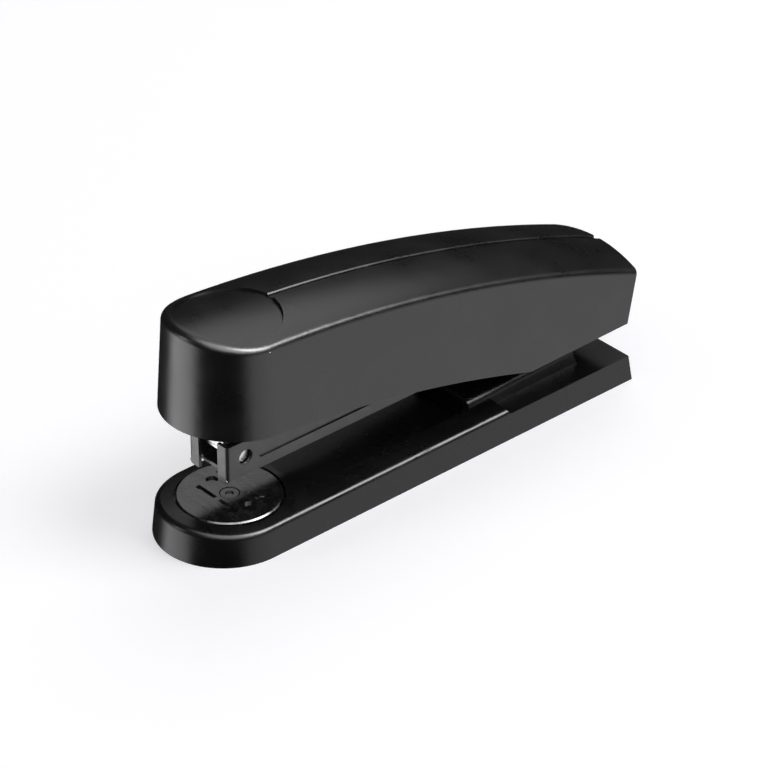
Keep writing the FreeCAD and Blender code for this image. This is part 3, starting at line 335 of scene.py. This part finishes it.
def staple_strip():
    """Separate staples, glued side by side, in place of the plain strip."""
    low, high = (Vector(corner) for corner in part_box("staple_strip"))
    count = int((high.y - low.y) / STAPLE_PITCH)

    def build(bm):
        for index in range(count):
            y = low.y + index * STAPLE_PITCH + (STAPLE_PITCH - STAPLE_LENGTH) / 2
            extrude_outline(bm, staple_outline(low, high, y), (0, STAPLE_LENGTH, 0))

    piece = new_piece("staples", build, "wire", "magazine")
    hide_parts("staple_strip")


SPRING_WIRE = 0.5 * MM
SPRING_TURNS = 15
SPRING_STEPS = 20            # points in each turn
SPRING_SIDES = 8


def pusher_spring():
    """A coil of round wire in place of the plain pusher spring."""
    low, high = (Vector(corner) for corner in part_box("pusher_spring"))
    middle = (low + high) / 2
    wire = SPRING_WIRE / 2
    coil = (high.x - low.x) / 2 - wire
    length = high.y - low.y - SPRING_WIRE

    def ring(bm, share):
        angle = share * SPRING_TURNS * 2 * math.pi
        outward = Vector((math.cos(angle), 0, math.sin(angle)))
        centre = Vector((middle.x, low.y + wire + share * length, middle.z)) + outward * coil
        points = []
        for side in range(SPRING_SIDES):
            turn = side / SPRING_SIDES * 2 * math.pi
            offset = outward * math.cos(turn) + Vector((0, math.sin(turn), 0))
            points.append(bm.verts.new(centre + offset * wire))
        return points

    def build(bm):
        count = SPRING_TURNS * SPRING_STEPS
        rings = [ring(bm, step / count) for step in range(count + 1)]
        for near, far in zip(rings, rings[1:]):
            for side in range(SPRING_SIDES):
                after = (side + 1) % SPRING_SIDES
                bm.faces.new((near[side], near[after], far[after], far[side]))
        bm.faces.new(rings[0])
        bm.faces.new(rings[-1][::-1])
        for face in bm.faces:
            face.smooth = len(face.verts) == 4

    piece = new_piece("pusher_coil", build, "spring", "magazine")
    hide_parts("pusher_spring")
    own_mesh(piece)


POINTER_PLACE = (6.7 * MM, -49.2 * MM)
POINTER_SIZE = 0.85 * MM
POINTER_RELIEF = 0.06 * MM
POINTER_TURN = 40


def anvil_pointer_and_highlight():
    """The small raised triangle that shows which die is in use; its bright wire steel is a painted
    highlight.
    """
    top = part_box("anvil_disc")[1][2]

    def build(bm):
        corners = []
        for turn in (0, 120, 240):
            angle = math.radians(turn + POINTER_TURN)
            x = POINTER_PLACE[0] + POINTER_SIZE * math.cos(angle)
            y = POINTER_PLACE[1] + POINTER_SIZE * math.sin(angle)
            corners.append((x, y, top))
        extrude_outline(bm, corners, (0, 0, POINTER_RELIEF))

    # bright staple-wire steel on the dark anvil paints the highlight on this mark
    new_piece("anvil_pointer_and_highlight", build, "wire", "anvil")


# ---- camera, floor and lamps ----
def look_at(item, place, target):
    item.location = place
    direction = Vector(target) - Vector(place)
    item.rotation_euler = direction.to_track_quat("-Z", "Y").to_euler()


def add_camera():
    data = bpy.data.cameras.new("camera")
    data.lens = CAMERA_LENS
    data.sensor_width = SENSOR_WIDTH
    data.clip_end = CAMERA_REACH
    camera = bpy.data.objects.new("camera", data)
    bpy.context.scene.collection.objects.link(camera)
    look_at(camera, CAMERA_PLACE, CAMERA_TARGET)
    bpy.context.scene.camera = camera


def add_lamps():
    for name, place, target, width, depth, power, colour in LAMPS:
        data = bpy.data.lights.new(name, "AREA")
        data.shape = "RECTANGLE"
        data.size = width
        data.size_y = depth
        data.energy = power
        data.color = colour
        lamp = bpy.data.objects.new(name, data)
        bpy.context.scene.collection.objects.link(lamp)
        look_at(lamp, place, target)


def add_floor():
    mesh = bpy.data.meshes.new("floor")
    h = FLOOR_HALF
    mesh.from_pydata([(-h, -h, 0), (h, -h, 0), (h, h, 0), (-h, h, 0)], [], [(0, 1, 2, 3)])
    floor = bpy.data.objects.new("floor", mesh)
    bpy.context.scene.collection.objects.link(floor)
    g = Graph("floor_paper")
    diffuse = g.add("ShaderNodeBsdfDiffuse")
    diffuse.inputs["Color"].default_value = (*FLOOR_COLOUR, 1.0)
    lift = g.add("ShaderNodeEmission")
    lift.inputs["Color"].default_value = (1.0, 1.0, 1.0, 1.0)
    path = g.add("ShaderNodeLightPath")
    g.join(g.maths("MULTIPLY", path.outputs["Is Camera Ray"], FLOOR_LIFT), lift.inputs["Strength"])
    both = g.add("ShaderNodeAddShader")
    g.join(diffuse.outputs["BSDF"], both.inputs[0])
    g.join(lift.outputs["Emission"], both.inputs[1])
    clear = g.add("ShaderNodeBsdfTransparent")
    unseen = g.add("ShaderNodeMixShader")
    g.join(path.outputs["Is Glossy Ray"], unseen.inputs["Fac"])
    g.join(both.outputs["Shader"], unseen.inputs[1])
    g.join(clear.outputs["BSDF"], unseen.inputs[2])
    g.join(unseen.outputs["Shader"], g.output.inputs["Surface"])
    mesh.materials.append(g.material)


WORLD_DIFFUSE = 0.35
# what polished faces see of the studio: (direction, full within, gone beyond, in degrees, brightness)
PATCHES = [
    ("ceiling_box", (0.46, 0.00, 0.89), 22.0, 50.0, 7.5),
    ("strip_box", (0.50, 0.42, 0.77), 7.0, 22.0, 24.0),
    ("table_beside", (0.78, 0.36, -0.50), 18.0, 40.0, 1.7),
    ("table_left", (-0.46, -0.72, -0.48), 14.0, 30.0, 4.2),
]
STUDIO_GLOW = 0.03


def add_world():
    world = bpy.data.worlds.new("studio")
    world.use_nodes = True
    bpy.context.scene.world = world
    nodes, links = world.node_tree.nodes, world.node_tree.links
    nodes.clear()
    heading = nodes.new("ShaderNodeTexCoord").outputs["Generated"]
    total = None
    for _, direction, full, gone, brightness in PATCHES:
        dot = nodes.new("ShaderNodeVectorMath")
        dot.operation = "DOT_PRODUCT"
        dot.inputs[1].default_value = Vector(direction).normalized()
        links.new(heading, dot.inputs[0])
        patch = nodes.new("ShaderNodeMapRange")
        patch.interpolation_type = "SMOOTHSTEP"
        patch.inputs["From Min"].default_value = math.cos(math.radians(gone))
        patch.inputs["From Max"].default_value = math.cos(math.radians(full))
        patch.inputs["To Max"].default_value = brightness
        links.new(dot.outputs["Value"], patch.inputs["Value"])
        add = nodes.new("ShaderNodeMath")
        add.inputs[0].default_value = STUDIO_GLOW
        if total is not None:
            links.new(total, add.inputs[0])
        links.new(patch.outputs["Result"], add.inputs[1])
        total = add.outputs["Value"]
    path = nodes.new("ShaderNodeLightPath")
    seen = nodes.new("ShaderNodeMix")
    seen.inputs["A"].default_value = WORLD_DIFFUSE
    links.new(path.outputs["Is Glossy Ray"], seen.inputs["Factor"])
    links.new(total, seen.inputs["B"])
    strength = nodes.new("ShaderNodeMath")
    strength.operation = "MAXIMUM"
    links.new(path.outputs["Is Camera Ray"], strength.inputs[0])
    links.new(seen.outputs["Result"], strength.inputs[1])
    background = nodes.new("ShaderNodeBackground")
    links.new(strength.outputs["Value"], background.inputs["Strength"])
    output = nodes.new("ShaderNodeOutputWorld")
    links.new(background.outputs["Background"], output.inputs["Surface"])


add_camera()
add_world()
add_floor()
add_lamps()
paint_nodes()
staple_strip()
pusher_spring()
anvil_pointer_and_highlight()

bpy.context.scene.view_settings.view_transform = "Standard"

bpy.context.view_layer.update()
